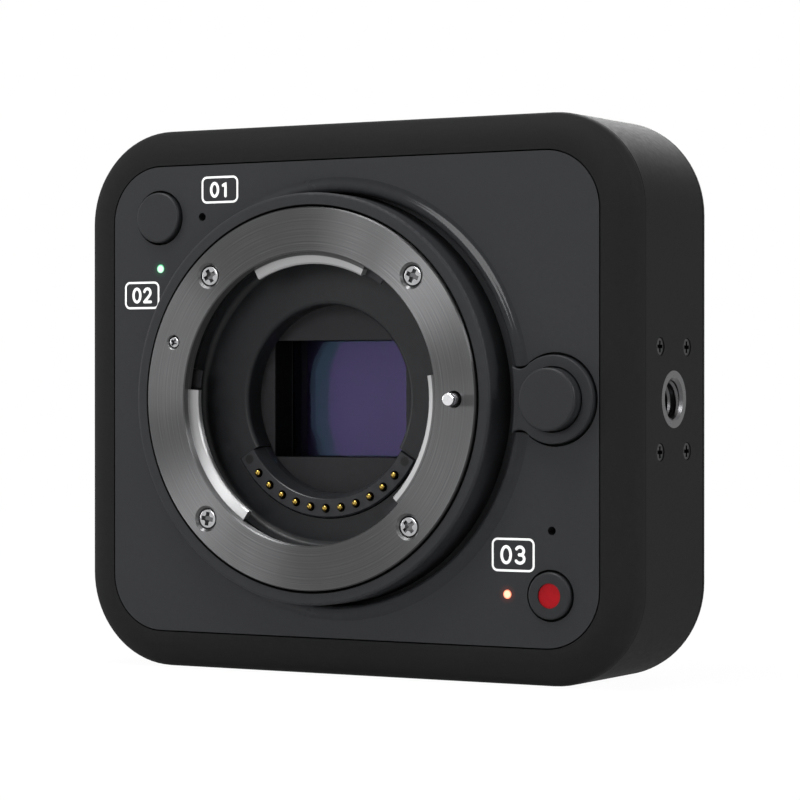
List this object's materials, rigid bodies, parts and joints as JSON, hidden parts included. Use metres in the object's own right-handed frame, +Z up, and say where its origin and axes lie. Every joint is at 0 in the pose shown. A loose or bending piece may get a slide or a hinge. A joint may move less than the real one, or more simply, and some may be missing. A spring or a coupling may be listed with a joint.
{
  "type": "interchangeable-lens video camera body",
  "caption": "Compact box video camera without a lens: round steel lens ring with bayonet claws, sprung contacts, release button, front buttons and tripod sockets.",
  "frame": {"origin": "centre of the lens ring's front face, on the optical axis", "axes": "-Y out of the lens opening, +Z up, +X to the right seen from the front"},
  "size_m": [0.09, 0.0304, 0.0782],
  "materials": {
    "body_paint": "dark blue-grey paint, fine satin",
    "front_paint": "dark blue-grey paint, fine satin",
    "surround_paint": "dark blue-grey paint, satin",
    "button_plastic": "dark blue-grey, satin",
    "ring_steel": "brushed ring, polished claws",
    "ring_screws": "machined, slightly dark",
    "pin_steel": "polished",
    "spring_steel": "darkened spring steel",
    "steel_screws": "plain machined steel",
    "black_screws": "black oxide",
    "socket_steel": "machined steel",
    "bare_metal": "plain milled",
    "black_plastic": "black, low sheen",
    "contact_plastic": "black, soft gloss",
    "contact_gold": "gold plated, polished",
    "flex_film": "amber film",
    "matte_shield": "dead matt black",
    "black_rubber": "matt",
    "filter_glass": "clear, teal coating",
    "sensor_glass": "clear, purple coating",
    "sensor_package": "dark ceramic and silicon",
    "circuit_board": "green solder mask",
    "connector_plastic": "cream",
    "chip_black": "black epoxy",
    "record_red": "satin red",
    "switch_plastic": "black",
    "led_body": "white ceramic",
    "status_light": "clear green, lit",
    "record_light": "clear red, lit",
    "microphone_metal": "tinned can",
    "port_metal": "nickel plated shell",
    "jack_plastic": "black"
  },
  "bodies": {
    "camera_body": {"audio_jack": "jack_plastic", "base_tripod_socket": "socket_steel", "board_connector": "connector_plastic", "body_frame": "body_paint", "button_boards": "circuit_board", "button_switches": "switch_plastic", "carrier_screws": "steel_screws", "chassis_plate": "bare_metal", "chassis_screws": "steel_screws", "contact_block": "contact_plastic", "contact_flex": "flex_film", "filter_gasket": "black_rubber", "filter_glass": "filter_glass", "front_bezel": "body_paint", "front_plate": "front_paint", "hdmi_port": "port_metal", "image_sensor": "sensor_package", "led_chips": "led_body", "light_shield": "matte_shield", "main_board": "circuit_board", "main_processor": "chip_black", "microphone_boots": "black_rubber", "microphones": "microphone_metal", "mount_housing": "front_paint", "mount_index_screw": "ring_screws", "mount_ring": "ring_steel", "mount_ring_screws": "ring_screws", "mount_spring": "spring_steel", "rear_cover": "body_paint", "rear_cover_screws": "black_screws", "record_light_pipe": "record_light", "release_bracket": "bare_metal", "release_housing": "surround_paint", "release_spring": "spring_steel", "sensor_board": "circuit_board", "sensor_carrier": "bare_metal", "sensor_cover_glass": "sensor_glass", "side_tripod_socket": "socket_steel", "socket_plate_screws": "black_screws", "socket_plates": "bare_metal", "status_light_pipe": "status_light", "throat_baffle": "black_plastic", "usb_port": "port_metal"},
    "lens_release": {"release_button": "button_plastic", "release_link": "bare_metal", "lock_pin": "pin_steel"},
    "power_key": {"power_button": "button_plastic"},
    "record_key": {"record_button": "button_plastic", "record_button_cap": "record_red"},
    "contact_01": {"contact_pin_01": "contact_gold"},
    "contact_02": {"contact_pin_02": "contact_gold"},
    "contact_03": {"contact_pin_03": "contact_gold"},
    "contact_04": {"contact_pin_04": "contact_gold"},
    "contact_05": {"contact_pin_05": "contact_gold"},
    "contact_06": {"contact_pin_06": "contact_gold"},
    "contact_07": {"contact_pin_07": "contact_gold"},
    "contact_08": {"contact_pin_08": "contact_gold"},
    "contact_09": {"contact_pin_09": "contact_gold"},
    "contact_10": {"contact_pin_10": "contact_gold"},
    "contact_11": {"contact_pin_11": "contact_gold"}
  },
  "joints": [
    {"name": "lens_release_slide", "type": "slide", "parent": "camera_body", "child": "lens_release", "axis": [0, 1, 0], "range_m": [0, 0.002], "stiffness_N_per_m": 400, "springref_m": -0.0005, "deforming": ["release_spring"]},
    {"name": "power_button_slide", "type": "slide", "parent": "camera_body", "child": "power_key", "axis": [0, 1, 0], "range_m": [0, 0.0004], "stiffness_N_per_m": 400, "springref_m": -0.0005},
    {"name": "record_button_slide", "type": "slide", "parent": "camera_body", "child": "record_key", "axis": [0, 1, 0], "range_m": [0, 0.0004], "stiffness_N_per_m": 400, "springref_m": -0.0005},
    {"name": "contact_01_slide", "type": "slide", "parent": "camera_body", "child": "contact_01", "axis": [0, 1, 0], "range_m": [0, 0.0005], "stiffness_N_per_m": 200, "springref_m": -0.0005},
    {"name": "contact_02_slide", "type": "slide", "parent": "camera_body", "child": "contact_02", "axis": [0, 1, 0], "range_m": [0, 0.0005], "stiffness_N_per_m": 200, "springref_m": -0.0005},
    {"name": "contact_03_slide", "type": "slide", "parent": "camera_body", "child": "contact_03", "axis": [0, 1, 0], "range_m": [0, 0.0005], "stiffness_N_per_m": 200, "springref_m": -0.0005},
    {"name": "contact_04_slide", "type": "slide", "parent": "camera_body", "child": "contact_04", "axis": [0, 1, 0], "range_m": [0, 0.0005], "stiffness_N_per_m": 200, "springref_m": -0.0005},
    {"name": "contact_05_slide", "type": "slide", "parent": "camera_body", "child": "contact_05", "axis": [0, 1, 0], "range_m": [0, 0.0005], "stiffness_N_per_m": 200, "springref_m": -0.0005},
    {"name": "contact_06_slide", "type": "slide", "parent": "camera_body", "child": "contact_06", "axis": [0, 1, 0], "range_m": [0, 0.0005], "stiffness_N_per_m": 200, "springref_m": -0.0005},
    {"name": "contact_07_slide", "type": "slide", "parent": "camera_body", "child": "contact_07", "axis": [0, 1, 0], "range_m": [0, 0.0005], "stiffness_N_per_m": 200, "springref_m": -0.0005},
    {"name": "contact_08_slide", "type": "slide", "parent": "camera_body", "child": "contact_08", "axis": [0, 1, 0], "range_m": [0, 0.0005], "stiffness_N_per_m": 200, "springref_m": -0.0005},
    {"name": "contact_09_slide", "type": "slide", "parent": "camera_body", "child": "contact_09", "axis": [0, 1, 0], "range_m": [0, 0.0005], "stiffness_N_per_m": 200, "springref_m": -0.0005},
    {"name": "contact_10_slide", "type": "slide", "parent": "camera_body", "child": "contact_10", "axis": [0, 1, 0], "range_m": [0, 0.0005], "stiffness_N_per_m": 200, "springref_m": -0.0005},
    {"name": "contact_11_slide", "type": "slide", "parent": "camera_body", "child": "contact_11", "axis": [0, 1, 0], "range_m": [0, 0.0005], "stiffness_N_per_m": 200, "springref_m": -0.0005}
  ]
}
